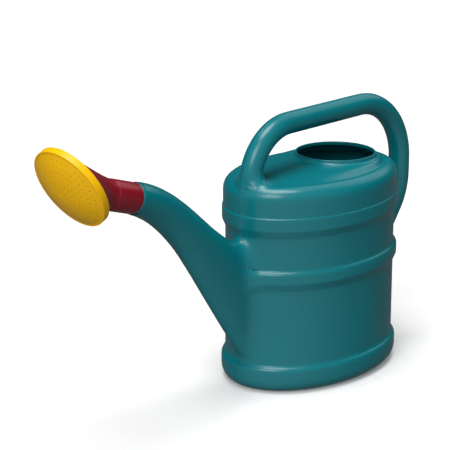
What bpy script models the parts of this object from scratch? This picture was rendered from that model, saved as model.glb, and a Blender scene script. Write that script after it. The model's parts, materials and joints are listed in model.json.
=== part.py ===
"""Watering can of about ten litres: a blow-moulded vessel, handle and spout, and a rose of two
moulded pieces, which turns on the spout's spigot and opens for cleaning.

Metres, +Z up. The spout points along -X, and the can stands on Z = 0 with the middle of its
length at X = 0."""

import math

import bmesh
import bpy
from mathutils import Matrix, Vector

# General
WALL = 0.0025  # blow-moulded wall
GAP = 0.0003  # between pieces that touch

# Vessel: upright ellipses; a ring's outset is how far it stands outside this plain ellipse
HALF_LENGTH = 0.130
HALF_WIDTH = 0.088
WALL_TOP = 0.250  # where the shoulder starts to round over
UPPER_PROUD = 0.003  # outset of the wall above the upper band
SHOULDER_IN = 0.018
SHOULDER_UP = 0.016
TOP_RISE = 0.006  # from the shoulder to the foot of the mouth's collar

FOOT_PROUD = 0.005
FOOT_TOP = 0.040
FOOT_STEP = 0.008  # height of the rounded step above the foot
FOOT_EDGE = 0.018  # rounding under the foot
STAND_WIDTH = 0.012  # flat ring that the can stands on
BASE_RECESS = 0.005  # the base panel is this high inside that ring

BAND_TOPS = (0.161, 0.229)
BAND_PROUD = 0.0044
BAND_HEIGHT = 0.0165  # upright face of a band
BAND_CHAMFER = 0.0105  # slope under a band
BAND_EDGE = 0.0008

MOUTH_X = 0.046
MOUTH_RADIUS = 0.050
MOUTH_LIP = 0.0022
MOUTH_FILLET = 0.0038
MOUTH_HEIGHT = 0.006

# Handle: a round tube that leaves the front shoulder and comes back into the rear wall
HANDLE_DIAMETER = 0.029
HANDLE_INSET = 0.0145  # from the front wall to the tube's axis
GRIP_ABOVE_MOUTH = 0.054  # from the rim up to the grip's axis
GRIP_SLOPE = 0.002  # the grip's rear end is this much higher
HANDLE_BEHIND = 0.0490  # from the rear wall to the axis of the upright
HANDLE_FALL = 36.0  # degrees from vertical of the lower end
HANDLE_ROOT_Z = 0.134  # where the axis meets the rear wall
FRONT_BEND = 0.070
REAR_BEND = 0.086
LOWER_BEND = 0.078

# Spout: an oval pipe round a cubic curve from the front wall to the spigot's shoulder
SPOUT_ROOT_Z = 0.1145
SPOUT_ROOT_RISE = 51.0  # degrees above level
SPOUT_ROOT_PULL = 0.1335  # length of the curve's first arm
SPOUT_TIP_OUT = 0.1814  # from the front wall to the shoulder
SPOUT_TIP_Z = 0.2864
SPOUT_TIP_RISE = 17.7
SPOUT_TIP_PULL = 0.0588
SPOUT_TIP_DIAMETER = 0.039
SPOUT_TIP_ROUND = 0.0014  # the pipe's end closes in by this much before its shoulder
SPOUT_WIDTH = 0.040
SPOUT_TAPER = 0.0195  # height gained evenly from the tip to the wall
SPOUT_FLARE = 0.085  # more height, gained close to the wall
SPOUT_FLARE_POWER = 6

# Rose: a socket on the spigot, a funnel, and a perforated cap over the funnel's flange
SPIGOT_RADIUS = 0.0164
SPIGOT_WALL = 0.0024
SPIGOT_LENGTH = 0.036
COLLAR_WALL = 0.002
COLLAR_LENGTH = 0.039
COLLAR_STEP = 0.0007  # the funnel starts this much inside the collar
ROSE_REACH = 0.0938  # from the shoulder, along the axis, to the back of the cap
ROSE_LIFT = 0.0050  # the cap's centre lies this far above the collar's axis
ROSE_TILT = 44.2  # degrees between the collar's axis and the cap's
FUNNEL_FLARE = 1.9  # 1 is a straight cone, more is a trumpet
ROSE_RADIUS = 0.052
ROSE_WALL = 0.002
CAP_DEPTH = 0.009  # skirt of the cap
CAP_RISE = 0.0135  # height of the dome
FLANGE_THICKNESS = 0.003
FLANGE_SETBACK = 0.001  # the flange's back lies this far inside the skirt
HOLE_RINGS = 7
HOLE_PITCH = 0.0062
HOLE_DIAMETER = 0.0016

# Facets
VESSEL_SIDES = 36
TUBE_SIDES = 16
SPOUT_SIDES = 24
ROSE_SIDES = 40
HOLE_SIDES = 6

# Worked out from the sizes above
TOP_Z = WALL_TOP + SHOULDER_UP
RIM_Z = TOP_Z + TOP_RISE + MOUTH_HEIGHT
COLLAR_RADIUS = SPIGOT_RADIUS + GAP + COLLAR_WALL
FLANGE_RADIUS = ROSE_RADIUS - ROSE_WALL - GAP


def arc(centre_x, centre_y, radius_x, radius_y, start, end, steps):
    """Points of an elliptical arc from one angle to another, in degrees, both ends included."""
    angles = [math.radians(start + (end - start) * i / steps) for i in range(steps + 1)]
    return [(centre_x + radius_x * math.cos(a), centre_y + radius_y * math.sin(a)) for a in angles]


def ellipse(centre, across, side, sides):
    """One closed ring: across and side are the half-axes as vectors."""
    ring = []
    for i in range(sides):
        angle = 2 * math.pi * i / sides
        ring.append(centre + across * math.cos(angle) + side * math.sin(angle))
    return ring


def flat_ring(centre_x, half_length, half_width, z):
    across = Vector((half_length, 0, 0))
    return ellipse(Vector((centre_x, 0, z)), across, Vector((0, half_width, 0)), VESSEL_SIDES)


def loft(name, rings):
    """One closed solid through rings of the same count, with flat ends."""
    shape = bmesh.new()
    loops = [[shape.verts.new(point) for point in ring] for ring in rings]
    for lower, upper in zip(loops, loops[1:]):
        for i, corner in enumerate(lower):
            j = (i + 1) % len(lower)
            shape.faces.new((corner, lower[j], upper[j], upper[i]))
    shape.faces.new(loops[0])
    shape.faces.new(loops[-1])
    bmesh.ops.recalc_face_normals(shape, faces=shape.faces)
    mesh = bpy.data.meshes.new(name)
    shape.to_mesh(mesh)
    shape.free()
    mesh.shade_smooth()
    mesh.set_sharp_from_angle(angle=math.radians(35))
    return add_object(name, mesh)


def add_object(name, mesh):
    obj = bpy.data.objects.new(name, mesh)
    bpy.context.scene.collection.objects.link(obj)
    return obj


def cut(obj, cutter):
    boolean = obj.modifiers.new("cut_" + cutter.name, "BOOLEAN")
    boolean.operation = "DIFFERENCE"
    boolean.solver = "EXACT"
    boolean.object = cutter
    cutter.hide_render = True
    cutter.display_type = "WIRE"


# Vessel


def wall_rows(inset):
    """(outset, z) of the vessel's skin from the base panel to the shoulder, moved in by inset."""
    stand_out = FOOT_PROUD - FOOT_EDGE
    stand_in = stand_out - STAND_WIDTH
    rows = [(stand_in - BASE_RECESS + inset / 2, BASE_RECESS + inset), (stand_in + inset / 2, inset)]
    rows += arc(stand_out, FOOT_EDGE, FOOT_EDGE - inset, FOOT_EDGE - inset, -90, 0, 3)
    half = FOOT_PROUD / 2
    rise = FOOT_STEP / 2
    rows += arc(half - inset, FOOT_TOP - FOOT_STEP, half, rise, 0, 90, 2)
    rows += arc(half - inset, FOOT_TOP, half, rise, 270, 180, 2)[1:]
    for top in BAND_TOPS:
        above = UPPER_PROUD if top == max(BAND_TOPS) else 0
        face = BAND_PROUD - inset
        rows.append((-inset, top - BAND_HEIGHT - BAND_CHAMFER))
        rows.append((face, top - BAND_HEIGHT))
        rows.append((face, top - BAND_EDGE - inset))
        rows.append((face - BAND_EDGE, top - inset))
        rows.append((above - inset, top - inset))
    shoulder = UPPER_PROUD - SHOULDER_IN
    rows += arc(shoulder, WALL_TOP, SHOULDER_IN - inset, SHOULDER_UP - inset, 0, 90, 4)
    return rows


def vessel_rings(inset):
    """Rings of the vessel's skin, moved in by inset, up to the foot of the mouth's collar."""
    rows = wall_rows(inset)
    rings = [flat_ring(0, HALF_LENGTH + out, HALF_WIDTH + out, z) for out, z in rows]
    edge = UPPER_PROUD - SHOULDER_IN
    collar_foot = MOUTH_RADIUS + MOUTH_LIP + MOUTH_FILLET
    steps = 3
    for i in range(1, steps + 1):
        share = i / steps
        half_length = HALF_LENGTH + edge + share * (collar_foot - HALF_LENGTH - edge)
        half_width = HALF_WIDTH + edge + share * (collar_foot - HALF_WIDTH - edge)
        z = TOP_Z - inset + TOP_RISE * math.sin(share * math.pi / 2)
        rings.append(flat_ring(MOUTH_X * share, half_length, half_width, z))
    return rings


def mouth_ring(radius, z):
    return flat_ring(MOUTH_X, radius, radius, z)


def vessel_skin(name, inset):
    """The vessel as a filled solid; a negative inset makes it larger."""
    rings = vessel_rings(inset)
    outer = MOUTH_RADIUS + MOUTH_LIP - inset
    foot_z = RIM_Z - MOUTH_HEIGHT
    fillet = arc(outer + MOUTH_FILLET, foot_z + MOUTH_FILLET - inset, MOUTH_FILLET, MOUTH_FILLET, 225, 180, 1)
    rings += [mouth_ring(radius, z) for radius, z in fillet]
    rings.append(mouth_ring(outer, RIM_Z - MOUTH_LIP / 3 - inset))
    rings.append(mouth_ring(outer - MOUTH_LIP / 3, RIM_Z - inset))
    return loft(name, rings)


def vessel_cavity():
    """Everything inside the wall, out through the mouth."""
    rings = vessel_rings(WALL)
    rings.append(mouth_ring(MOUTH_RADIUS, RIM_Z - MOUTH_HEIGHT + MOUTH_FILLET / 2))
    rings.append(mouth_ring(MOUTH_RADIUS, RIM_Z + WALL))
    return loft("vessel_cavity", rings)


# Handle


def rounded_path(corners, bends, steps):
    """Points of a path of straight runs whose inner corners are arcs of the given radii."""
    points = [corners[0]]
    for before, corner, after, radius in zip(corners, corners[1:], corners[2:], bends):
        arriving = (before - corner).normalized()
        leaving = (after - corner).normalized()
        half_angle = arriving.angle(leaving) / 2
        centre = corner + (arriving + leaving).normalized() * radius / math.sin(half_angle)
        start = (corner + arriving * radius / math.tan(half_angle) - centre).normalized()
        end = (corner + leaving * radius / math.tan(half_angle) - centre).normalized()
        points += [centre + start.slerp(end, i / steps) * radius for i in range(steps + 1)]
    points.append(corners[-1])
    return points


def handle_path():
    """The tube's axis, from inside the front shoulder to inside the rear wall."""
    front = -HALF_LENGTH + HANDLE_INSET
    back = HALF_LENGTH + HANDLE_BEHIND
    grip_z = RIM_Z + GRIP_ABOVE_MOUTH
    run_per_drop = math.tan(math.radians(HANDLE_FALL))
    end_x = HALF_LENGTH - HANDLE_DIAMETER
    corners = [
        Vector((front, 0, WALL_TOP - HANDLE_DIAMETER)),
        Vector((front, 0, grip_z - GRIP_SLOPE)),
        Vector((back, 0, grip_z)),
        Vector((back, 0, HANDLE_ROOT_Z + HANDLE_BEHIND / run_per_drop)),
        Vector((end_x, 0, HANDLE_ROOT_Z - HANDLE_DIAMETER / run_per_drop)),
    ]
    return rounded_path(corners, (FRONT_BEND, REAR_BEND, LOWER_BEND), 7)


def tube(name, path, radius):
    """A round solid of one radius along a path in the XZ plane."""
    rings = []
    for i, point in enumerate(path):
        along = path[min(i + 1, len(path) - 1)] - path[max(i - 1, 0)]
        across = Vector((along.z, 0, -along.x)).normalized() * radius
        rings.append(ellipse(point, across, Vector((0, radius, 0)), TUBE_SIDES))
    return loft(name, rings)


def longer_path(path, extra):
    """The same path with its two ends drawn out."""
    first = path[0] + (path[0] - path[1]).normalized() * extra
    last = path[-1] + (path[-1] - path[-2]).normalized() * extra
    return [first] + path[1:-1] + [last]


# Spout


def level_rise(degrees):
    """Unit vector towards the spout's side, this many degrees above level."""
    angle = math.radians(degrees)
    return Vector((-math.cos(angle), 0, math.sin(angle)))


def spout_point(share):
    """(point, unit direction) on the spout's mid-line: 0 at the front wall, 1 at the shoulder."""
    start = Vector((-HALF_LENGTH, 0, SPOUT_ROOT_Z))
    end = Vector((-HALF_LENGTH - SPOUT_TIP_OUT, 0, SPOUT_TIP_Z))
    arm = start + level_rise(SPOUT_ROOT_RISE) * SPOUT_ROOT_PULL
    other_arm = end - level_rise(SPOUT_TIP_RISE) * SPOUT_TIP_PULL
    rest = 1 - share
    point = start * rest**3 + arm * 3 * rest**2 * share + other_arm * 3 * rest * share**2 + end * share**3
    along = (arm - start) * rest**2 + (other_arm - arm) * 2 * rest * share + (end - other_arm) * share**2
    return point, along.normalized()


def spout_ring(share, inset):
    """One oval section: upright at the wall and square to the mid-line further out."""
    point, along = spout_point(share)
    turned = min(max(share / 0.35, 0), 1)
    square = Vector((along.z, 0, -along.x))
    across = Vector((0, 0, 1)).lerp(square, turned).normalized()
    rest = min(1 - share, 1)
    height = SPOUT_TIP_DIAMETER + SPOUT_TAPER * rest + SPOUT_FLARE * rest**SPOUT_FLARE_POWER
    width = SPOUT_WIDTH - (SPOUT_WIDTH - SPOUT_TIP_DIAMETER) * share**3
    side = Vector((0, width / 2 - inset, 0))
    return ellipse(point, across * (height / 2 - inset), side, SPOUT_SIDES)


def spigot_ring(along, radius):
    """A round section on the spigot's axis, this far out from the shoulder."""
    point, direction = spout_point(1)
    across = Vector((direction.z, 0, -direction.x)) * radius
    return ellipse(point + direction * along, across, Vector((0, radius, 0)), SPOUT_SIDES)


def spout_skin():
    start = -0.05  # inside the vessel
    end = 0.98
    steps = 14
    full = SPOUT_TIP_DIAMETER / 2
    rings = [spout_ring(start + (end - start) * i / steps, 0) for i in range(steps + 1)]
    rings.append(spigot_ring(-SPOUT_TIP_ROUND, full - SPOUT_TIP_ROUND / 3))
    rings.append(spigot_ring(0, full - SPOUT_TIP_ROUND))
    rings.append(spigot_ring(0, SPIGOT_RADIUS))
    rings.append(spigot_ring(SPIGOT_LENGTH - WALL / 2, SPIGOT_RADIUS))
    rings.append(spigot_ring(SPIGOT_LENGTH, SPIGOT_RADIUS - WALL / 4))
    return loft("spout", rings)


def spout_bore():
    start = -0.08  # further inside than the spout's own end
    end = 0.93
    steps = 12
    bore = SPIGOT_RADIUS - SPIGOT_WALL
    rings = [spout_ring(start + (end - start) * i / steps, WALL) for i in range(steps + 1)]
    rings.append(spigot_ring(0, bore))
    rings.append(spigot_ring(SPIGOT_LENGTH + WALL, bore))
    return loft("spout_bore", rings)


# Rose: the collar's axis is the neck's own +Z, and the cap's axis is the cap's own +Z


def square_ring(z, radius):
    """A round section square to the collar's axis."""
    return ellipse(Vector((0, 0, z)), Vector((radius, 0, 0)), Vector((0, radius, 0)), ROSE_SIDES)


def tilted_ring(start_z, share, radius, along):
    """A round section between the collar at start_z, share 0, and the cap's back, share 1.

    along moves it out along its own normal."""
    turn = Matrix.Rotation(-math.radians(ROSE_TILT * share), 3, "Y")
    centre = Vector((ROSE_LIFT * share, 0, start_z + (ROSE_REACH - start_z) * share))
    centre += turn @ Vector((0, 0, along))
    return ellipse(centre, turn @ Vector((radius, 0, 0)), Vector((0, radius, 0)), ROSE_SIDES)


def funnel_rings(inset, start_z):
    """The flared part of the neck, from a square section at start_z to the tilted flange."""
    first = COLLAR_RADIUS - COLLAR_STEP
    last = FLANGE_RADIUS - 2 * ROSE_WALL
    steps = 6
    rings = []
    for i in range(steps + 1):
        share = i / steps
        radius = first + (last - first) * share**FUNNEL_FLARE - inset
        rings.append(tilted_ring(start_z, share, radius, FLANGE_SETBACK * share))
    return rings


def neck_skin():
    rings = [square_ring(GAP, COLLAR_RADIUS), square_ring(COLLAR_LENGTH, COLLAR_RADIUS)]
    rings += funnel_rings(0, COLLAR_LENGTH)
    front = FLANGE_SETBACK + FLANGE_THICKNESS
    rings.append(tilted_ring(COLLAR_LENGTH, 1, FLANGE_RADIUS, FLANGE_SETBACK))
    rings.append(tilted_ring(COLLAR_LENGTH, 1, FLANGE_RADIUS, front))
    return loft("rose_neck", rings)


def neck_bore():
    socket = SPIGOT_RADIUS + GAP
    floor = SPIGOT_LENGTH + GAP
    rings = [square_ring(-WALL, socket), square_ring(floor, socket)]
    rings += funnel_rings(ROSE_WALL + COLLAR_WALL / 2, floor)
    opening = FLANGE_RADIUS - 3 * ROSE_WALL
    rings.append(tilted_ring(floor, 1, opening, FLANGE_SETBACK + FLANGE_THICKNESS + WALL))
    return loft("neck_bore", rings)


def dome(radius, rise, base_z, steps):
    """(radius, z) from near the axis out to the rim of a spherical cap."""
    sphere = (radius**2 + rise**2) / (2 * rise)
    rows = []
    for i in range(1, steps + 1):
        out = radius * i / steps
        rows.append((out, base_z + math.sqrt(sphere**2 - out**2) - sphere + rise))
    return rows


def cap_skin():
    """The perforated cap before its holes: Z = 0 is the plane of its rim."""
    ledge = -CAP_DEPTH + FLANGE_SETBACK + FLANGE_THICKNESS + GAP
    skirt = ROSE_RADIUS - ROSE_WALL
    inner = skirt - ROSE_WALL
    inner_foot = -ROSE_WALL / 2
    rows = dome(inner, CAP_RISE - ROSE_WALL - inner_foot, inner_foot, 6)
    rows += [(inner, ledge), (skirt, ledge)]
    rows += [(skirt, -CAP_DEPTH), (ROSE_RADIUS - ROSE_WALL / 2, -CAP_DEPTH)]
    rows += [(ROSE_RADIUS, ROSE_WALL / 2 - CAP_DEPTH), (ROSE_RADIUS, 0)]
    rows += dome(ROSE_RADIUS - ROSE_WALL / 4, CAP_RISE, 0, 7)[::-1]
    return loft("rose_face", [square_ring(z, radius) for radius, z in rows])


def cap_holes():
    """Straight holes along the cap's axis, on rings that each hold six more than the last."""
    shape = bmesh.new()
    depth = 2 * (CAP_RISE + CAP_DEPTH)
    radius = HOLE_DIAMETER / 2
    for ring in range(1, HOLE_RINGS + 1):
        for i in range(6 * ring):
            turn = Matrix.Rotation(2 * math.pi * i / (6 * ring), 4, "Z")
            place = turn @ Matrix.Translation((ring * HOLE_PITCH, 0, 0))
            bmesh.ops.create_cone(
                shape,
                cap_ends=True,
                segments=HOLE_SIDES,
                radius1=radius,
                radius2=radius,
                depth=depth,
                matrix=place,
            )
    mesh = bpy.data.meshes.new("cap_holes")
    shape.to_mesh(mesh)
    shape.free()
    return add_object("cap_holes", mesh)


# Materials and assembly


def plastic(name, colour, roughness):
    material = bpy.data.materials.new(name)
    material.use_nodes = True
    shader = material.node_tree.nodes["Principled BSDF"]
    shader.inputs["Base Color"].default_value = (*colour, 1)
    shader.inputs["Metallic"].default_value = 0
    shader.inputs["Roughness"].default_value = roughness
    return material


def paint(obj, material):
    obj.data.materials.append(material)


def highest_and_lowest_x(obj):
    """Reach of an object's own points along X, in its parent's frame."""
    across = [(obj.matrix_world @ vertex.co).x for vertex in obj.data.vertices]
    return max(across), min(across)


def build():
    for obj in list(bpy.data.objects):
        bpy.data.objects.remove(obj, do_unlink=True)

    can = add_object("can_frame", None)

    vessel = vessel_skin("vessel", 0)
    cavity = vessel_cavity()
    clearance = vessel_skin("vessel_clearance", -GAP)
    path = handle_path()
    handle = tube("handle", path, HANDLE_DIAMETER / 2)
    handle_bore = tube("handle_bore", longer_path(path, WALL), HANDLE_DIAMETER / 2 - WALL)
    spout = spout_skin()
    bore = spout_bore()
    for obj in (vessel, cavity, clearance, handle, handle_bore, spout, bore):
        obj.parent = can
    for cutter in (cavity, bore, handle_bore):
        cut(vessel, cutter)
    for cutter in (handle_bore, clearance):
        cut(handle, cutter)
    for cutter in (bore, clearance):
        cut(spout, cutter)

    neck = neck_skin()
    socket = neck_bore()
    shoulder, direction = spout_point(1)
    neck.parent = can
    neck.location = shoulder
    neck.rotation_euler.y = -math.radians(90 - SPOUT_TIP_RISE)
    socket.parent = neck
    cut(neck, socket)

    face = cap_skin()
    holes = cap_holes()
    turn = Matrix.Rotation(-math.radians(ROSE_TILT), 3, "Y")
    face.parent = neck
    face.location = Vector((ROSE_LIFT, 0, ROSE_REACH)) + turn @ Vector((0, 0, CAP_DEPTH))
    face.rotation_euler.y = -math.radians(ROSE_TILT)
    holes.parent = face
    cut(face, holes)

    green = {"vessel": 0.42, "handle": 0.40, "spout": 0.41}
    for obj in (vessel, handle, spout):
        paint(obj, plastic(obj.name + "_green", (0.008, 0.138, 0.142), green[obj.name]))
    paint(neck, plastic("rose_neck_maroon", (0.205, 0.006, 0.016), 0.35))
    paint(face, plastic("rose_face_yellow", (0.807, 0.456, 0.012), 0.38))

    bpy.context.view_layer.update()
    back = highest_and_lowest_x(handle)[0]
    front = highest_and_lowest_x(face)[1]
    can.location.x = -(back + front) / 2


build()
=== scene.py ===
"""Looks of the watering can: a blow-moulded green shell, a moulded rose neck and a perforated cap.

Metres, +Z up, the spout towards -X. Shapes are made about the vessel's own axis, then moved to where
the frame has it; the rose is made about the collar's axis, and placed on the joint it turns on."""

import json
import math

import bmesh
import bpy
from mathutils import Matrix, Vector
from mathutils.bvhtree import BVHTree


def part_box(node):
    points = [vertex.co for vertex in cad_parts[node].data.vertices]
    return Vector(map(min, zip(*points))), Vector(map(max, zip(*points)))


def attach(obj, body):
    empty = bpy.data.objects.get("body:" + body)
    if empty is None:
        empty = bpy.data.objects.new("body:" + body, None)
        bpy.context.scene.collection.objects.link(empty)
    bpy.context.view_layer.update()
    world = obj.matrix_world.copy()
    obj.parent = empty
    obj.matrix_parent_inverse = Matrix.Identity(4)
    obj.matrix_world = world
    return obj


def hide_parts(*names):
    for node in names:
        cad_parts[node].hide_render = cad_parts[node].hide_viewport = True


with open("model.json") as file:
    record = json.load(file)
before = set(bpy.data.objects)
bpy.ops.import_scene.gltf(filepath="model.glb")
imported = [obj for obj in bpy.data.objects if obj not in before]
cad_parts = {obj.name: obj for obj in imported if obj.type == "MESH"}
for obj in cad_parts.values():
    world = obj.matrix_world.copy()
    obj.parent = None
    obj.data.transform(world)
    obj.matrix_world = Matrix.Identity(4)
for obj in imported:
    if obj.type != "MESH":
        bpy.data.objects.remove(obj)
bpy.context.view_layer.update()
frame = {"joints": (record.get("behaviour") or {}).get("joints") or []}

# General
MM = 0.001
WALL = 0.0025  # blow-moulded wall
GAP = 0.0003  # between pieces that touch
SMOOTH_ANGLE = 35  # degrees; edges sharper than this are shaded as edges

# Vessel: upright ellipses; a ring's outset is how far it stands outside this plain ellipse
HALF_LENGTH = 0.130
HALF_WIDTH = 0.088
TOP_Z = 0.266  # where the shoulder ends
UPPER_PROUD = 0.003  # outset of the wall above the upper band
SHOULDER_IN = 0.018  # from the upper wall in to where the top starts
SHOULDER_BEND = 0.0165
TOP_RISE = 0.006  # from the shoulder to the foot of the mouth's collar
TOP_EASE = 1.3  # over 1, the top leaves the shoulder level

FOOT_PROUD = 0.005
FOOT_TOP = 0.036  # the small shelf round the foot
FOOT_EDGE = 0.018  # rounding under the foot
STAND_WIDTH = 0.012  # flat ring that the can stands on
BASE_RECESS = 0.005
BASE_BEND = 0.0015

BAND_TOPS = (0.161, 0.229)
BAND_PROUD = 0.0044
BAND_HEIGHT = 0.0165  # upright face of a band
BAND_CHAMFER = 0.0105  # slope under a band
CHAMFER_BENDS = (0.007, 0.004)  # where the slope leaves the wall and meets the face
LEDGE_FALL = 0.8  # the ledges over bands and foot drop this much for each unit outwards
LEDGE_BENDS = (1.3, 0.9)  # outer and inner bend of a ledge, to how far it stands out
TIGHTEST_BEND = 0.0003  # inside the wall

MOUTH_X = 0.046
MOUTH_RADIUS = 0.050
MOUTH_LIP = 0.0022
MOUTH_FILLET = 0.0038
MOUTH_HEIGHT = 0.006
MOUTH_ROUND = 0.0009  # each edge of the lip
RIM_Z = TOP_Z + TOP_RISE + MOUTH_HEIGHT

# The mould's parting line, a fine bead in the plane Y = 0
SEAM_PROUD = 0.00022
SEAM_WIDTH = 0.0014

# Handle: a round tube that leaves the front shoulder and comes back into the rear wall
HANDLE_DIAMETER = 0.029
HANDLE_INSET = 0.0145  # the front leg, from the front of the plain ellipse
GRIP_ABOVE_MOUTH = 0.054
GRIP_SLOPE = 0.002
HANDLE_BEHIND = 0.0490  # the rear leg, behind the plain ellipse
HANDLE_FALL = 36.0  # degrees from upright, on the way back to the wall
HANDLE_ROOT_Z = 0.134
FRONT_BEND = 0.070
REAR_BEND = 0.086
LOWER_BEND = 0.078
SHY = 0.0003  # the tube and the cap are this much smaller than their nominal radius
HANDLE_BLEND = 0.020  # reach of the moulded fillet where the tube meets the vessel

# Spout: an oval pipe round a cubic curve from the front wall to the spigot's shoulder
SPOUT_ROOT_Z = 0.1145
SPOUT_ROOT_RISE = 51.0  # degrees above level
SPOUT_ROOT_PULL = 0.1335  # how far this end of the curve holds its direction
SPOUT_TIP_OUT = 0.1814
SPOUT_TIP_Z = 0.2864
SPOUT_TIP_RISE = 17.7
SPOUT_TIP_PULL = 0.0588
SPOUT_TIP_DIAMETER = 0.039
SPOUT_TIP_ROUND = (0.0026, 0.008)  # inwards and along the spout
SPOUT_WIDTH = 0.040
SPOUT_TAPER = 0.0195  # steady growth in height towards the wall
SPOUT_FLARE = 0.085  # and what comes on top of it close to the wall
SPOUT_FLARE_POWER = 6
SQUARE_FROM = 0.35  # share of the mid-line from which sections are square to it
CLOSE_UP_TO = 0.16  # share up to which sections lie close together
SKIN_SHARES = (-0.05, 0.985)  # first and last oval section outside; below 0 is inside the vessel
BORE_SHARES = (-0.08, 0.93)  # and of the bore
SPOUT_BLEND = 0.026  # reach of the fillet round the root
BLEND_ABOVE_FOOT = 0.012  # a fillet has its full reach only this far above the foot's shelf
SPIGOT_RADIUS = 0.0164
SPIGOT_WALL = 0.0024
SPIGOT_LENGTH = 0.036

# Rose
COLLAR_WALL = 0.002
COLLAR_LENGTH = 0.039
COLLAR_STEP = 0.0007
COLLAR_RADIUS = SPIGOT_RADIUS + GAP + COLLAR_WALL
ROSE_REACH = 0.0938  # from the shoulder to the cap's back, along the collar
ROSE_LIFT = 0.0050  # and off the collar's axis
ROSE_TILT = 44.2  # degrees, cap against collar
FUNNEL_FLARE = 1.9  # over 1, the funnel opens late
ROSE_RADIUS = 0.052
ROSE_WALL = 0.002
CAP_DEPTH = 0.009
CAP_RISE = 0.0135
RIM_BEAD = 0.0019  # width of the raised rim round the dome
RIM_DROP = 0.0006  # from the rim down to the dome's foot
FLANGE_THICKNESS = 0.003
FLANGE_SETBACK = 0.001
FLANGE_RADIUS = ROSE_RADIUS - ROSE_WALL - GAP
EDGE = 0.0005  # rounding of the neck's edges
CAP_EDGE = 0.0004  # chamfer inside the skirt
LOWER_EDGE = 0.0007  # rounding of the skirt's lower edge
UPPER_EDGE = 0.0011  # and of the rim
EDGE_STEPS = 4
FUNNEL_STEPS = 36
GATE_RADIUS = 0.0016  # nub left where the cap was injected
GATE_RISE = 0.0005
GATE_CLEAR = 1.5  # the dome stops this many gate radii from the axis
GATE_OUTLINE = (1.2, 1, 0.7, 0.2)  # from the nub's foot to its middle, in gate radii
HOLE_RINGS = 7
HOLE_PITCH = 0.0062
HOLE_DIAMETER = 0.0016

# Studio
ROOM_DIM = 0.03  # behind and to the right
ROOM_LOW = 0.12  # added below eye level, where the paper throws light back
ROOM_BRIGHT = 0.60  # at the front left, where the window is
WINDOW_FROM = Vector((-0.78, -0.60, 0.10)).normalized()
PAPER_GLOW = 0.1  # lifts the sweep to white
# Lamps: name, watts to a square metre, degrees across, direction it comes from
LAMPS = (
    ("overhead softbox", 2.5, 34, Vector((-0.1, 0, 1))),
    ("right softbox", 0.5, 50, Vector((0.7, 0.05, 0.7))),
    ("left softbox", 1.4, 32, Vector((-0.66, -0.3, 0.6))),
)

FLOOR_SIZE = 40  # from its middle to an edge
LENS = 136.7
CAMERA_SPOT = Vector((-1.5948, -1.3846, 0.8154))  # from the vessel's axis on the ground
CAMERA_RIGHT = Vector((0.69422, -0.71977, 0))
CAMERA_UP = Vector((0.20529, 0.198, 0.95847))

# Working out the fillets
EVENINGS = (0, 0.5, 0.5, 0.5, 0.5)  # how far each round draws corners together before they settle
SETTLE_STEPS = 4
LONGEST_STEP = 0.003
FLATTEST_GROWTH = 0.25  # squared; keeps steps short in a narrow corner

# Facets
BASE_SHARES = (0.04, 0.3, 0.55, 0.8)  # rings across the base panel, as shares of its size
TOP_RINGS = 24  # from the shoulder to the mouth
VESSEL_SIDES = 224
CAVITY_SIDES = 96
TUBE_SIDES = 56
SPOUT_SIDES = 96
ROSE_SIDES = 112
HOLE_SIDES = 10
BEND_STEPS = 6  # on each rounded edge
TUBE_BEND_STEPS = 24  # on each bend of the handle
ROW_SPACING = 0.004  # at most, between the vessel's rings
TUBE_SPACING = 0.003
SPOUT_STEPS = (40, 50)  # where sections lie close, and in the rest
DOME_RINGS = (12, 26)  # inside and outside


# Shapes


def arc(centre_x, centre_y, radius, start, end, steps):
    """Points of an arc from one angle to another, in degrees, both ends included."""
    angles = [math.radians(start + (end - start) * i / steps) for i in range(steps + 1)]
    return [(centre_x + radius * math.cos(a), centre_y + radius * math.sin(a)) for a in angles]


def rounded_path(corners, bends, steps):
    """Points of a path of straight runs whose inner corners are arcs of the given radii."""
    points = [corners[0]]
    for before, corner, after, radius in zip(corners, corners[1:], corners[2:], bends):
        arriving = (before - corner).normalized()
        leaving = (after - corner).normalized()
        half_angle = arriving.angle(leaving) / 2
        centre = corner + (arriving + leaving).normalized() * radius / math.sin(half_angle)
        start = (corner + arriving * radius / math.tan(half_angle) - centre).normalized()
        end = (corner + leaving * radius / math.tan(half_angle) - centre).normalized()
        points += [centre + start.slerp(end, i / steps) * radius for i in range(steps + 1)]
    points.append(corners[-1])
    return points


def evenly(path, spacing):
    """The same path with points added wherever two lie further apart than spacing."""
    points = [path[0]]
    for start, end in zip(path, path[1:]):
        pieces = max(1, math.ceil((end - start).length / spacing))
        points += [start.lerp(end, i / pieces) for i in range(1, pieces + 1)]
    return points


def ring(centre, across, side, sides):
    """A closed oval through half-axes across and side, with three points at each crossing of the
    parting plane: the middle one is the crest of the seam."""
    flank = min(SEAM_WIDTH / 2 / side.length, math.pi / sides)
    angles = []
    for i in range(sides):
        angle = 2 * math.pi * i / sides
        crossing = i % (sides // 2) == 0
        angles += [angle - flank, angle, angle + flank] if crossing else [angle]
    return [centre + across * math.cos(a) + side * math.sin(a) for a in angles]


def crests(sides):
    """Which points of a ring lie on the seam's crest."""
    return 1, sides // 2 + 3


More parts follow.
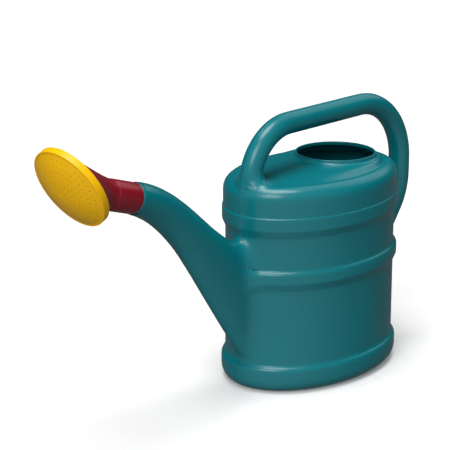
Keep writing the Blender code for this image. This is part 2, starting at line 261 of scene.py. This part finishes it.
def loft(name, rings, seam_rings=0, sides=0):
    """One closed solid through rings of the same count; the first seam_rings carry the seam.

    Nothing stands proud where the skin faces the ground."""
    shape = bmesh.new()
    loops = [[shape.verts.new(point) for point in points] for points in rings]
    for lower, upper in zip(loops, loops[1:]):
        for i, corner in enumerate(lower):
            j = (i + 1) % len(lower)
            shape.faces.new((corner, lower[j], upper[j], upper[i]))
    shape.faces.new(loops[0])
    shape.faces.new(loops[-1])
    bmesh.ops.recalc_face_normals(shape, faces=shape.faces)
    shape.normal_update()
    raised = [loop[i] for loop in loops[1:seam_rings] for i in crests(sides)]
    for corner, normal in [(corner, corner.normal.copy()) for corner in raised]:
        underfoot = normal.z < -0.9
        corner.co += normal * (0 if underfoot else SEAM_PROUD)
    return mesh_object(name, shape)


def mesh_object(name, shape):
    """A new object at the origin with this mesh."""
    mesh = bpy.data.meshes.new(name)
    shape.to_mesh(mesh)
    shape.free()
    obj = bpy.data.objects.new(name, mesh)
    bpy.context.scene.collection.objects.link(obj)
    return obj


def join_and_cut(target, others, operation):
    """Applies one Boolean after another to target, and removes the others."""
    for other in others:
        boolean = target.modifiers.new(operation.lower(), "BOOLEAN")
        boolean.operation = operation
        boolean.solver = "MANIFOLD"
        boolean.object = other
    apply_modifiers(target)
    for other in others:
        bpy.data.objects.remove(other)


def apply_modifiers(obj):
    """The evaluated mesh becomes the object's own, and its modifiers go."""
    evaluated = obj.evaluated_get(bpy.context.evaluated_depsgraph_get())
    finished = bpy.data.meshes.new_from_object(evaluated)
    obj.modifiers.clear()
    obj.data = finished


def finish_piece(obj, place, material, body):
    """Puts a piece's mesh in its place, shades it and hands it to the frame."""
    obj.data.transform(place)
    obj.data.shade_smooth()
    obj.data.set_sharp_from_angle(angle=math.radians(SMOOTH_ANGLE))
    obj.data.materials.clear()
    obj.data.materials.append(material)
    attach(obj, body)


# Vessel


def wall_rows(inset):
    """(outset, z) of the vessel's skin from the base panel to the shoulder, moved in by inset."""

    def outward(bend):
        """An outward bend is tighter inside the wall."""
        return max(bend - inset, TIGHTEST_BEND)

    def ledge(wall, face, top):
        """Corners of a ledge that falls from the wall at this height to the edge of a face."""
        low = top - LEDGE_FALL * (face - wall)
        return [(face - inset, low - inset / 2), (wall - inset, top - inset / 2)]

    stand_in = FOOT_PROUD - FOOT_EDGE - STAND_WIDTH + inset / 2
    floor = BASE_RECESS + inset
    face = FOOT_PROUD - inset
    corners = [(stand_in - 2 * BASE_RECESS, floor), (stand_in - BASE_RECESS / 2, floor)]
    corners += [(stand_in, inset), (face, inset)] + ledge(0, FOOT_PROUD, FOOT_TOP)
    outer, inner = LEDGE_BENDS
    bends = [BASE_BEND, BASE_BEND, outward(FOOT_EDGE - 0.2 * MM)]
    bends += [outward(outer * FOOT_PROUD), inner * FOOT_PROUD]
    for top in BAND_TOPS:
        above = UPPER_PROUD if top == max(BAND_TOPS) else 0
        step = BAND_PROUD - above
        face = BAND_PROUD - inset
        corners += [(-inset, top - BAND_HEIGHT - BAND_CHAMFER), (face, top - BAND_HEIGHT)]
        corners += ledge(above, BAND_PROUD, top)
        bends += [*CHAMFER_BENDS, outward(outer * step), inner * step]
    corners += [(UPPER_PROUD - inset, TOP_Z - inset), (UPPER_PROUD - SHOULDER_IN, TOP_Z - inset)]
    bends.append(outward(SHOULDER_BEND))
    path = rounded_path([Vector((out, 0, z)) for out, z in corners], bends, BEND_STEPS)
    return [(point.x, point.z) for point in evenly(path, ROW_SPACING)]


def vessel_rings(inset, sides):
    """Rings of the vessel's skin, moved in by inset, up to the foot of the mouth's collar."""
    rows = wall_rows(inset)
    first_out, first_z = rows[0]
    rings = []
    for share in BASE_SHARES:
        across = Vector((share * (HALF_LENGTH + first_out), 0, 0))
        side = Vector((0, share * (HALF_WIDTH + first_out), 0))
        rings.append(ring(Vector((0, 0, first_z)), across, side, sides))
    for out, z in rows:
        rings.append(level_ring(0, HALF_LENGTH + out, HALF_WIDTH + out, z, sides))
    edge = UPPER_PROUD - SHOULDER_IN
    foot = MOUTH_RADIUS + MOUTH_LIP + MOUTH_FILLET
    for i in range(1, TOP_RINGS + 1):
        share = i / TOP_RINGS
        half_length = HALF_LENGTH + edge + share * (foot - HALF_LENGTH - edge)
        half_width = HALF_WIDTH + edge + share * (foot - HALF_WIDTH - edge)
        z = TOP_Z - inset + TOP_RISE * math.sin(share * math.pi / 2) ** TOP_EASE
        rings.append(level_ring(MOUTH_X * share, half_length, half_width, z, sides))
    return rings


def level_ring(centre_x, half_length, half_width, z, sides):
    """An upright ellipse's section at height z."""
    across = Vector((half_length, 0, 0))
    return ring(Vector((centre_x, 0, z)), across, Vector((0, half_width, 0)), sides)


def vessel_skin():
    """The vessel's outside as a filled solid."""
    rings = vessel_rings(0, VESSEL_SIDES)
    outer = MOUTH_RADIUS + MOUTH_LIP
    foot_z = RIM_Z - MOUTH_HEIGHT
    rows = arc(outer + MOUTH_FILLET, foot_z + MOUTH_FILLET, MOUTH_FILLET, 270, 180, BEND_STEPS)[1:]
    rows += arc(outer - MOUTH_ROUND, RIM_Z - MOUTH_ROUND, MOUTH_ROUND, 0, 90, BEND_STEPS)
    rings += [level_ring(MOUTH_X, radius, radius, z, VESSEL_SIDES) for radius, z in rows]
    return loft("can_shell", rings, len(rings) - BEND_STEPS, VESSEL_SIDES)


def vessel_cavity():
    """Everything inside the wall, out through the mouth, whose inner edge is rounded."""
    rings = vessel_rings(WALL, CAVITY_SIDES)
    rows = [(MOUTH_RADIUS, RIM_Z - MOUTH_HEIGHT + MOUTH_FILLET / 2)]
    centre = MOUTH_RADIUS + MOUTH_ROUND
    rows += arc(centre, RIM_Z - MOUTH_ROUND, MOUTH_ROUND, 180, 95, BEND_STEPS)
    rows.append((rows[-1][0], RIM_Z + WALL))
    rings += [level_ring(MOUTH_X, radius, radius, z, CAVITY_SIDES) for radius, z in rows]
    return loft("vessel_cavity", rings)


def height_over(skin, spot):
    """Distance from a skin, below zero inside it, and the direction away from it."""
    nearest, facing, _, distance = skin.find_nearest(spot)
    away = spot - nearest
    if distance < 0.3 * MM:
        return away.dot(facing), facing
    side = math.copysign(1, away.dot(facing))
    return side * distance, away * side / distance


def height_over_both(vessel, pipe, reach, spot):
    """Height over the vessel and a pipe with a fillet between them, and the way it grows.

    None outside the fillet. It is the quadratic smooth minimum of the two heights; its reach
    shrinks where the skins run side by side, and at the foot."""
    heights = sorted((height_over(skin, spot) for skin in (vessel, pipe)), key=lambda pair: pair[0])
    (low, from_low), (high, from_high) = heights
    span = reach * min(1 - from_low.dot(from_high), 1)
    span *= min(max((spot.z - FOOT_TOP) / BLEND_ABOVE_FOOT, 0), 1)
    if high - low >= span or low > span / 3:
        return None
    share = 1 - (high - low) / span
    return low - share * share * span / 4, from_low.lerp(from_high, share / 2)


def settle(corner, vessel, pipe, reach):
    """Moves a corner of the mesh onto the fillet in a few short steps, if it is near it."""
    for _ in range(SETTLE_STEPS):
        found = height_over_both(vessel, pipe, reach, corner.co)
        if found:
            height, growth = found
            step = growth * height / max(growth.length_squared, FLATTEST_GROWTH)
            corner.co -= step * min(LONGEST_STEP / max(step.length, MM), 1)


def blend(shell, vessel, pipe, reach):
    """Moves the shell's corners near both skins out to the fillet, and evens them out along it.

    The corners of the seam only settle, or evening would smear it."""
    shape = bmesh.new()
    shape.from_mesh(shell.data)
    near = [v for v in shape.verts if height_over_both(vessel, pipe, reach, v.co)]
    faces = list({face for corner in near for face in corner.link_faces})
    bmesh.ops.triangulate(shape, faces=faces)
    bmesh.ops.remove_doubles(shape, verts=near, dist=SEAM_WIDTH / 3)
    near = [corner for corner in near if corner.is_valid]
    loose = [corner for corner in near if abs(corner.co.y) > SEAM_WIDTH]
    for evening in EVENINGS:
        bmesh.ops.smooth_vert(
            shape, verts=loose, factor=evening, use_axis_x=True, use_axis_y=True, use_axis_z=True
        )
        for corner in near:
            settle(corner, vessel, pipe, reach)
    shape.to_mesh(shell.data)
    shape.free()


# Handle


def handle_path():
    """The tube's axis, from inside the front shoulder to inside the rear wall."""
    front = -HALF_LENGTH + HANDLE_INSET
    back = HALF_LENGTH + HANDLE_BEHIND
    grip_z = RIM_Z + GRIP_ABOVE_MOUTH
    run_per_drop = math.tan(math.radians(HANDLE_FALL))
    corners = [
        Vector((front, 0, TOP_Z - HANDLE_DIAMETER / 2)),
        Vector((front, 0, grip_z - GRIP_SLOPE)),
        Vector((back, 0, grip_z)),
        Vector((back, 0, HANDLE_ROOT_Z + HANDLE_BEHIND / run_per_drop)),
        Vector((HALF_LENGTH - HANDLE_DIAMETER, 0, HANDLE_ROOT_Z - HANDLE_DIAMETER / run_per_drop)),
    ]
    bends = (FRONT_BEND, REAR_BEND, LOWER_BEND)
    return evenly(rounded_path(corners, bends, TUBE_BEND_STEPS), TUBE_SPACING)


def tube_rings(path, radius):
    """Round sections square to the path."""
    rings = []
    for i, point in enumerate(path):
        along = path[min(i + 1, len(path) - 1)] - path[max(i - 1, 0)]
        across = Vector((along.z, 0, -along.x)).normalized() * radius
        rings.append(ring(point, across, Vector((0, radius, 0)), TUBE_SIDES))
    return rings


def handle_skin():
    rings = tube_rings(handle_path(), HANDLE_DIAMETER / 2 - SEAM_PROUD - SHY)
    return loft("handle_skin", rings, len(rings), TUBE_SIDES)


def handle_bore():
    """The tube's hollow, open into the vessel at both ends."""
    path = handle_path()
    first = path[0] + (path[0] - path[1]).normalized() * WALL
    last = path[-1] + (path[-1] - path[-2]).normalized() * WALL
    path = [first] + path[1:-1:3] + [last]
    return loft("handle_bore", tube_rings(path, HANDLE_DIAMETER / 2 - WALL))


# Spout


def level_rise(degrees):
    """Unit vector towards the spout's side, this many degrees above level."""
    angle = math.radians(degrees)
    return Vector((-math.cos(angle), 0, math.sin(angle)))


def spout_point(share):
    """(point, unit direction) on the spout's mid-line: 0 at the front wall, 1 at the shoulder."""
    start = Vector((-HALF_LENGTH, 0, SPOUT_ROOT_Z))
    end = Vector((-HALF_LENGTH - SPOUT_TIP_OUT, 0, SPOUT_TIP_Z))
    arm = start + level_rise(SPOUT_ROOT_RISE) * SPOUT_ROOT_PULL
    other_arm = end - level_rise(SPOUT_TIP_RISE) * SPOUT_TIP_PULL
    rest = 1 - share
    point = start * rest**3 + arm * 3 * rest**2 * share + other_arm * 3 * rest * share**2 + end * share**3
    along = (arm - start) * rest**2 + (other_arm - arm) * 2 * rest * share + (end - other_arm) * share**2
    return point, along.normalized()


def spout_ring(share, inset):
    """One oval section: upright at the wall and square to the mid-line further out."""
    point, along = spout_point(share)
    turned = min(max(share / SQUARE_FROM, 0), 1)
    square = Vector((along.z, 0, -along.x))
    across = Vector((0, 0, 1)).lerp(square, turned).normalized()
    rest = min(1 - share, 1)
    height = SPOUT_TIP_DIAMETER + SPOUT_TAPER * rest + SPOUT_FLARE * rest**SPOUT_FLARE_POWER
    width = SPOUT_WIDTH - (SPOUT_WIDTH - SPOUT_TIP_DIAMETER) * share**3
    side = Vector((0, width / 2 - inset, 0))
    return ring(point, across * (height / 2 - inset), side, SPOUT_SIDES)


def spigot_ring(along, radius):
    """A round section on the spigot's axis, this far out from the shoulder."""
    point, direction = spout_point(1)
    across = Vector((direction.z, 0, -direction.x)) * radius
    return ring(point + direction * along, across, Vector((0, radius, 0)), SPOUT_SIDES)


def spout_shares(start, end):
    """Shares along the mid-line, close together near the wall and wider apart further out."""
    steps = SPOUT_STEPS[0]
    fine = [start + (CLOSE_UP_TO - start) * i / steps for i in range(steps)]
    steps = SPOUT_STEPS[1]
    return fine + [CLOSE_UP_TO + (end - CLOSE_UP_TO) * i / steps for i in range(steps + 1)]


def spout_skin():
    """The spout's outside as a filled solid, from deep inside the vessel to the spigot's end."""
    rings = [spout_ring(share, 0) for share in spout_shares(*SKIN_SHARES)]
    deeper = Vector((SPOUT_WIDTH, 0, 0))
    rings.insert(0, [corner + deeper for corner in rings[0]])
    full = SPOUT_TIP_DIAMETER / 2
    seam_rings = len(rings)
    inwards, along = SPOUT_TIP_ROUND
    for out, up in arc(0, 0, 1, 0, 90, 2 * BEND_STEPS):
        rings.append(spigot_ring(along * (up - 1), full - inwards * (1 - out)))
    rings.append(spigot_ring(0, SPIGOT_RADIUS))
    end = SPIGOT_LENGTH
    chamfer = WALL / 4
    rings.append(spigot_ring(end - 2 * chamfer, SPIGOT_RADIUS))
    rings.append(spigot_ring(end, SPIGOT_RADIUS - chamfer))
    return loft("spout_skin", rings, seam_rings, SPOUT_SIDES)


def spout_bore():
    """The water's way, from inside the vessel out through the spigot."""
    bore = SPIGOT_RADIUS - SPIGOT_WALL
    rings = [spout_ring(share, WALL) for share in spout_shares(*BORE_SHARES)[::2]]
    rings.append(spigot_ring(0, bore))
    rings.append(spigot_ring(SPIGOT_LENGTH + WALL, bore))
    return loft("spout_bore", rings)


def surface(obj):
    """The object's mesh as it is now, to measure distances to."""
    shape = bmesh.new()
    shape.from_mesh(obj.data)
    return BVHTree.FromBMesh(shape)


def can_shell(place, material):
    """Vessel, handle and spout in one moulding, hollow all the way through."""
    shell = vessel_skin()
    handle = handle_skin()
    spout = spout_skin()
    vessel_surface = surface(shell)
    pipes = ((surface(handle), HANDLE_BLEND), (surface(spout), SPOUT_BLEND))
    join_and_cut(shell, [handle, spout], "UNION")
    for pipe_surface, reach in pipes:
        blend(shell, vessel_surface, pipe_surface, reach)
    join_and_cut(shell, [vessel_cavity(), handle_bore(), spout_bore()], "DIFFERENCE")
    finish_piece(shell, place, material, "can")
    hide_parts("vessel", "handle", "spout")


# Rose: the collar's axis is +Z here, and the cap's leans ROSE_TILT from it


def square_ring(z, radius):
    """A round section square to the collar's axis."""
    return plain_ring(Vector((0, 0, z)), Vector((radius, 0, 0)), radius)


def plain_ring(centre, across, radius):
    """A round section: across is one half-axis, and the other is radius long, along Y."""
    angles = [2 * math.pi * i / ROSE_SIDES for i in range(ROSE_SIDES)]
    side = Vector((0, radius, 0))
    return [centre + across * math.cos(a) + side * math.sin(a) for a in angles]


def tilted_ring(start_z, share, radius, along):
    """A round section between the collar at start_z, share 0, and the cap's back, share 1."""
    turn = Matrix.Rotation(-math.radians(ROSE_TILT * share), 3, "Y")
    centre = Vector((ROSE_LIFT * share, 0, start_z + (ROSE_REACH - start_z) * share))
    centre += turn @ Vector((0, 0, along))
    return plain_ring(centre, turn @ Vector((radius, 0, 0)), radius)


def funnel_rings(inset, start_z):
    """The flared part of the neck, from a square section at start_z to the tilted flange."""
    first = COLLAR_RADIUS - COLLAR_STEP
    last = FLANGE_RADIUS - 2 * ROSE_WALL
    rings = []
    for i in range(FUNNEL_STEPS + 1):
        share = i / FUNNEL_STEPS
        radius = first + (last - first) * share**FUNNEL_FLARE - inset
        rings.append(tilted_ring(start_z, share, radius, FLANGE_SETBACK * share))
    return rings


def rose_neck(place, material):
    """The socket collar, the funnel and the flange that the cap snaps over."""
    rows = arc(COLLAR_RADIUS - EDGE, GAP + EDGE, EDGE, -90, 0, EDGE_STEPS)
    rows += arc(COLLAR_RADIUS - EDGE, COLLAR_LENGTH - EDGE, EDGE, 0, 70, EDGE_STEPS)
    rings = [square_ring(z, radius) for radius, z in rows]
    rings += funnel_rings(0, COLLAR_LENGTH)
    front = FLANGE_SETBACK + FLANGE_THICKNESS
    outer = [(FLANGE_RADIUS - EDGE, FLANGE_SETBACK), (FLANGE_RADIUS, FLANGE_SETBACK + EDGE)]
    outer += [(FLANGE_RADIUS, front - EDGE), (FLANGE_RADIUS - EDGE, front)]
    rings += [tilted_ring(COLLAR_LENGTH, 1, radius, along) for radius, along in outer]
    neck = loft("rose_neck_moulding", rings)

    floor = SPIGOT_LENGTH + GAP
    socket = SPIGOT_RADIUS + GAP
    rings = [square_ring(z, radius) for radius, z in ((socket + EDGE, -EDGE), (socket + EDGE, GAP))]
    rings += [square_ring(z, socket) for z in (GAP + EDGE, floor)]
    rings += funnel_rings(ROSE_WALL + COLLAR_WALL / 2, floor)
    opening = FLANGE_RADIUS - 3 * ROSE_WALL
    rings.append(tilted_ring(floor, 1, opening, front + WALL))
    join_and_cut(neck, [loft("neck_bore", rings)], "DIFFERENCE")
    finish_piece(neck, place, material, "neck")
    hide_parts("rose_neck")


def dome_rows(radius, rise, base_z, steps):
    """(radius, z) from near the axis out to the rim of a spherical cap."""
    sphere = (radius**2 + rise**2) / (2 * rise)
    rows = []
    for i in range(1, steps + 1):
        out = radius * i / steps
        rows.append((out, base_z + math.sqrt(sphere**2 - out**2) - sphere + rise))
    return rows


def cap_rings():
    """The cap before its holes, about its own axis: Z = 0 is the plane of its rim."""
    ledge = -CAP_DEPTH + FLANGE_SETBACK + FLANGE_THICKNESS + GAP
    skirt = ROSE_RADIUS - ROSE_WALL
    inner = skirt - ROSE_WALL
    rows = dome_rows(inner, CAP_RISE - ROSE_WALL / 2, -ROSE_WALL / 2, DOME_RINGS[0])
    rows = [(radius, z - ROSE_WALL / 2) for radius, z in rows]
    rows += [(inner, ledge), (skirt, ledge), (skirt, CAP_EDGE - CAP_DEPTH), (skirt + CAP_EDGE, -CAP_DEPTH)]
    outer = ROSE_RADIUS - SHY
    rows += arc(outer - LOWER_EDGE, LOWER_EDGE - CAP_DEPTH, LOWER_EDGE, -90, 0, EDGE_STEPS)
    rows += arc(outer - UPPER_EDGE, -UPPER_EDGE, UPPER_EDGE, 0, 90, BEND_STEPS)
    dome_edge = outer - RIM_BEAD
    rows += [(dome_edge + RIM_DROP / 2, 0), (dome_edge, -RIM_DROP / 2)]
    rise = CAP_RISE + RIM_DROP - GATE_RISE
    outside = dome_rows(dome_edge - RIM_DROP / 2, rise, -RIM_DROP, DOME_RINGS[1])[::-1]
    rows += [row for row in outside if row[0] > GATE_CLEAR * GATE_RADIUS]
    apex = CAP_RISE
    foot = apex - GATE_RISE
    heights = (foot, foot + GATE_RISE / 2, apex, apex)
    rows += [(GATE_RADIUS * share, z) for share, z in zip(GATE_OUTLINE, heights)]
    return [square_ring(z, radius) for radius, z in rows]


def rose_cap(place, material):
    """The perforated cap, with its holes put in by Geometry Nodes."""
    cap = loft("rose_cap_moulding", cap_rings())
    tree = perforation_tree()
    modifier = cap.modifiers.new("perforations", "NODES")
    modifier.node_group = tree
    sizes = {
        "Rings": HOLE_RINGS,
        "Pitch": HOLE_PITCH,
        "Hole Radius": HOLE_DIAMETER / 2,
        "Hole Sides": HOLE_SIDES,
        "Depth": 2 * (CAP_DEPTH + CAP_RISE),
        "Plastic": material,
    }
    for item in tree.interface.items_tree:
        if item.item_type == "SOCKET" and item.in_out == "INPUT" and item.name in sizes:
            modifier[item.identifier] = sizes[item.name]
    apply_modifiers(cap)
    lean = Matrix.Rotation(-math.radians(ROSE_TILT), 4, "Y")
    seat = Matrix.Translation((ROSE_LIFT, 0, ROSE_REACH)) @ lean @ Matrix.Translation((0, 0, CAP_DEPTH))
    finish_piece(cap, place @ seat, material, "face")
    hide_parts("rose_face")


# Nodes


def add(tree, kind, inputs=None, **settings):
    """Adds a node: inputs maps its sockets to values or to other nodes' outputs."""
    made = tree.nodes.new(kind)
    for name, value in settings.items():
        setattr(made, name, value)
    for socket, value in (inputs or {}).items():
        if isinstance(value, bpy.types.NodeSocket):
            tree.links.new(value, made.inputs[socket])
        else:
            made.inputs[socket].default_value = value
    return made


def perforation_tree():
    """Straight holes along Z on rings about it: ring k, counted from 1, holds 6k of them.

    Holes are numbered outwards from 0, so 3k(k - 1) of them lie inside ring k."""
    tree = bpy.data.node_groups.new("rose_perforations", "GeometryNodeTree")
    sockets = (
        ("Cap", "NodeSocketGeometry"),
        ("Rings", "NodeSocketInt"),
        ("Pitch", "NodeSocketFloat"),
        ("Hole Radius", "NodeSocketFloat"),
        ("Hole Sides", "NodeSocketInt"),
        ("Depth", "NodeSocketFloat"),
        ("Plastic", "NodeSocketMaterial"),
    )
    for name, kind in sockets:
        tree.interface.new_socket(name, in_out="INPUT", socket_type=kind)
    tree.interface.new_socket("Perforated Cap", in_out="OUTPUT", socket_type="NodeSocketGeometry")
    given = add(tree, "NodeGroupInput").outputs

    def maths(operation, first, second=0.0, third=0.0):
        inputs = {0: first, 1: second, 2: third}
        return add(tree, "ShaderNodeMath", inputs, operation=operation).outputs[0]

    def inside(ring_number):
        """How many holes lie inside a ring."""
        return maths("MULTIPLY", maths("MULTIPLY", ring_number, 3.0), maths("SUBTRACT", ring_number, 1.0))

    total = inside(maths("ADD", given["Rings"], 1.0))
    number = add(tree, "GeometryNodeInputIndex").outputs[0]
    root = maths("SQRT", maths("MULTIPLY_ADD", number, 4 / 3, 1.0))
    ring_number = maths("FLOOR", maths("MULTIPLY", maths("ADD", root, 1.0001), 0.5))
    along_ring = maths("SUBTRACT", number, inside(ring_number))
    angle = maths("DIVIDE", maths("MULTIPLY", along_ring, math.pi / 3), ring_number)
    distance = maths("MULTIPLY", ring_number, given["Pitch"])
    place = {
        "X": maths("MULTIPLY", distance, maths("COSINE", angle)),
        "Y": maths("MULTIPLY", distance, maths("SINE", angle)),
    }
    position = add(tree, "ShaderNodeCombineXYZ", place).outputs[0]
    spots = add(tree, "GeometryNodePoints", {"Count": total, "Position": position}).outputs[0]
    pin = {"Vertices": given["Hole Sides"], "Radius": given["Hole Radius"], "Depth": given["Depth"]}
    cutter = add(tree, "GeometryNodeMeshCylinder", pin).outputs["Mesh"]
    copies = add(tree, "GeometryNodeInstanceOnPoints", {"Points": spots, "Instance": cutter}).outputs[0]
    solid = add(tree, "GeometryNodeRealizeInstances", {0: copies}).outputs[0]
    cut = {"Mesh 1": given["Cap"], "Mesh 2": solid}
    holed = add(tree, "GeometryNodeMeshBoolean", cut, operation="DIFFERENCE", solver="EXACT").outputs[0]
    whole = add(tree, "GeometryNodeRealizeInstances", {0: holed}).outputs[0]
    coloured = {"Geometry": whole, "Material": given["Plastic"]}
    painted = add(tree, "GeometryNodeSetMaterial", coloured).outputs[0]
    add(tree, "NodeGroupOutput", {0: painted})
    return tree


# Materials


def linear(hex_colour):
    """An sRGB hex colour as linear red, green, blue and an alpha of 1."""
    channels = [int(hex_colour[i : i + 2], 16) / 255 for i in (1, 3, 5)]
    return [c / 12.92 if c <= 0.04045 else ((c + 0.055) / 1.055) ** 2.4 for c in channels] + [1.0]


def new_material(name):
    """A new material, its node tree, its shader and its object coordinates."""
    material = bpy.data.materials.new(name)
    material.use_nodes = True
    tree = material.node_tree
    where = add(tree, "ShaderNodeTexCoord").outputs["Object"]
    return material, tree, tree.nodes["Principled BSDF"], where


def noise(tree, where, size, detail=2.0):
    """Noise whose blotches are about size across, in metres."""
    settings = {"Vector": where, "Scale": 1 / size, "Detail": detail, "Roughness": 0.5}
    return add(tree, "ShaderNodeTexNoise", settings).outputs["Fac"]


def mixed(tree, share, first, second):
    """A colour between two others."""
    inputs = {"Factor": share, 6: first, 7: second}
    return add(tree, "ShaderNodeMix", inputs, data_type="RGBA").outputs[2]


def blown_polyethylene():
    """Blow-moulded HDPE, green: satin, from a sand-blasted mould, with a wall that is never quite
    true. The eye gets soft highlights with a fine grain, slow ripples, and rubbed plastic underfoot."""
    material, tree, shader, where = new_material("blow_moulded_hdpe_green")
    shader.inputs["IOR"].default_value = 1.5
    shader.inputs["Specular IOR Level"].default_value = 0.4
    colour = mixed(tree, noise(tree, where, 70 * MM), linear("#006A73"), linear("#007079"))

    height = add(tree, "ShaderNodeSeparateXYZ", {0: where}).outputs["Z"]
    low = {"Value": height, "From Min": 9 * MM, "From Max": 0.0, "To Min": 0.0, "To Max": 0.7}
    underfoot = add(tree, "ShaderNodeMapRange", low).outputs[0]
    scratch = noise(tree, where, 3 * MM, 5.0)
    rub = add(tree, "ShaderNodeMath", {0: underfoot, 1: scratch}, operation="MULTIPLY").outputs[0]
    worn = mixed(tree, rub, colour, linear("#4F7F80"))
    tree.links.new(worn, shader.inputs["Base Color"])

    sheen = {"Value": noise(tree, where, 24 * MM, 3.0), "To Min": 0.23, "To Max": 0.31}
    satin = add(tree, "ShaderNodeMapRange", sheen).outputs[0]
    rough = add(tree, "ShaderNodeMath", {0: rub, 1: 0.3, 2: satin}, operation="MULTIPLY_ADD")
    tree.links.new(rough.outputs[0], shader.inputs["Roughness"])

    # The blasted grain is about 0.1 mm; it is drawn at 0.9 mm, or nothing of it would show
    grain = noise(tree, where, 0.9 * MM)
    fine = add(tree, "ShaderNodeBump", {"Height": grain, "Strength": 0.05, "Distance": 0.1 * MM})
    ripple = noise(tree, where, 38 * MM, 1.0)
    slow = {"Height": ripple, "Strength": 0.3, "Distance": 0.8 * MM, "Normal": fine.outputs[0]}
    wavy = add(tree, "ShaderNodeBump", slow).outputs[0]
    tree.links.new(wavy, shader.inputs["Normal"])
    return material


def moulded_polypropylene(name, hex_colour, hex_other, gloss, smooth, dull):
    """Injection-moulded PP: closer to glossy than the shell, faint flow marks in its colour."""
    material, tree, shader, where = new_material(name)
    shader.inputs["IOR"].default_value = 1.49
    shader.inputs["Specular IOR Level"].default_value = gloss
    colour = mixed(tree, noise(tree, where, 18 * MM, 3.0), linear(hex_colour), linear(hex_other))
    tree.links.new(colour, shader.inputs["Base Color"])
    sheen = {"Value": noise(tree, where, 9 * MM, 3.0), "To Min": smooth, "To Max": dull}
    tree.links.new(add(tree, "ShaderNodeMapRange", sheen).outputs[0], shader.inputs["Roughness"])
    # Spark-eroded texture of about 0.05 mm, drawn at 0.6 mm so that it shows
    grain = noise(tree, where, 0.6 * MM)
    bump = add(tree, "ShaderNodeBump", {"Height": grain, "Strength": 0.1, "Distance": 0.08 * MM})
    tree.links.new(bump.outputs[0], shader.inputs["Normal"])
    return material


# Stage


def studio():
    """A white sweep under a row of three soft lights, with a wide window at the front left.

    The sweep is left out of reflections and throws no light back: the low part of the room does."""
    shape = bmesh.new()
    bmesh.ops.create_grid(shape, x_segments=1, y_segments=1, size=FLOOR_SIZE)
    floor = mesh_object("floor", shape)
    paper, tree, shader, where = new_material("white_paper_sweep")
    shader.inputs["Roughness"].default_value = 0.9
    shader.inputs["Specular IOR Level"].default_value = 0.1
    fibre = {"Value": noise(tree, where, 0.15), "To Min": 0.75, "To Max": 0.76}
    shade = add(tree, "ShaderNodeMapRange", fibre).outputs[0]
    tree.links.new(shade, shader.inputs["Base Color"])
    shader.inputs["Emission Color"].default_value = (1, 1, 1, 1)
    shader.inputs["Emission Strength"].default_value = PAPER_GLOW
    floor.data.materials.append(paper)
    floor.visible_diffuse = False
    floor.visible_glossy = False

    world = bpy.data.worlds.new("studio")
    world.use_nodes = True
    room = world.node_tree
    direction = add(room, "ShaderNodeTexCoord").outputs["Generated"]
    to_window = {0: direction, 1: WINDOW_FROM}
    facing = add(room, "ShaderNodeVectorMath", to_window, operation="DOT_PRODUCT").outputs["Value"]
    fall_off = {"Value": facing, "From Min": -0.35, "To Min": ROOM_DIM, "To Max": ROOM_BRIGHT}
    window = add(room, "ShaderNodeMapRange", fall_off, interpolation_type="SMOOTHSTEP").outputs[0]
    upward = add(room, "ShaderNodeSeparateXYZ", {0: direction}).outputs["Z"]
    bounce = {"Value": upward, "From Min": 0.05, "From Max": -0.15, "To Max": ROOM_LOW}
    thrown_back = add(room, "ShaderNodeMapRange", bounce).outputs[0]
    light = add(room, "ShaderNodeMath", {0: window, 1: thrown_back}).outputs[0]
    room.links.new(light, room.nodes["Background"].inputs["Strength"])
    room.nodes["Background"].inputs["Color"].default_value = (1, 1, 1, 1)
    bpy.context.scene.world = world
    for name, power, spread, source in LAMPS:
        lamp = bpy.data.lights.new(name, "SUN")
        lamp.angle = math.radians(spread)
        lamp.energy = power
        obj = bpy.data.objects.new(name, lamp)
        obj.rotation_euler = (-source).to_track_quat("-Z", "Y").to_euler()
        bpy.context.scene.collection.objects.link(obj)


def camera(vessel_x):
    """A long lens, from the front left of the can and a little above it."""
    lens = bpy.data.cameras.new("camera")
    lens.lens = LENS
    lens.sensor_width = 36
    obj = bpy.data.objects.new("camera", lens)
    axes = Matrix((CAMERA_RIGHT, CAMERA_UP, CAMERA_RIGHT.cross(CAMERA_UP))).transposed()
    spot = CAMERA_SPOT + Vector((vessel_x, 0, 0))
    obj.matrix_world = Matrix.Translation(spot) @ axes.to_4x4()
    bpy.context.scene.collection.objects.link(obj)
    bpy.context.scene.camera = obj


# Making


def main():
    low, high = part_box("vessel")
    vessel_x = (low.x + high.x) / 2
    camera(vessel_x)
    bpy.context.scene.view_settings.view_transform = "Standard"
    studio()

    place = Matrix.Translation((vessel_x, 0, 0))
    can_shell(place, blown_polyethylene())
    turn = next(joint for joint in frame["joints"] if joint["name"] == "rose_turn")
    lean = Matrix.Rotation(-math.radians(90 - SPOUT_TIP_RISE), 4, "Y")
    collar = Matrix.Translation(turn["pos_m"]) @ lean
    maroon = moulded_polypropylene("moulded_pp_maroon", "#7E0D1F", "#8A1224", 0.45, 0.26, 0.34)
    yellow = moulded_polypropylene("moulded_pp_yellow", "#F2BC00", "#EEB400", 0.25, 0.34, 0.42)
    rose_neck(collar, maroon)
    rose_cap(collar, yellow)


main()
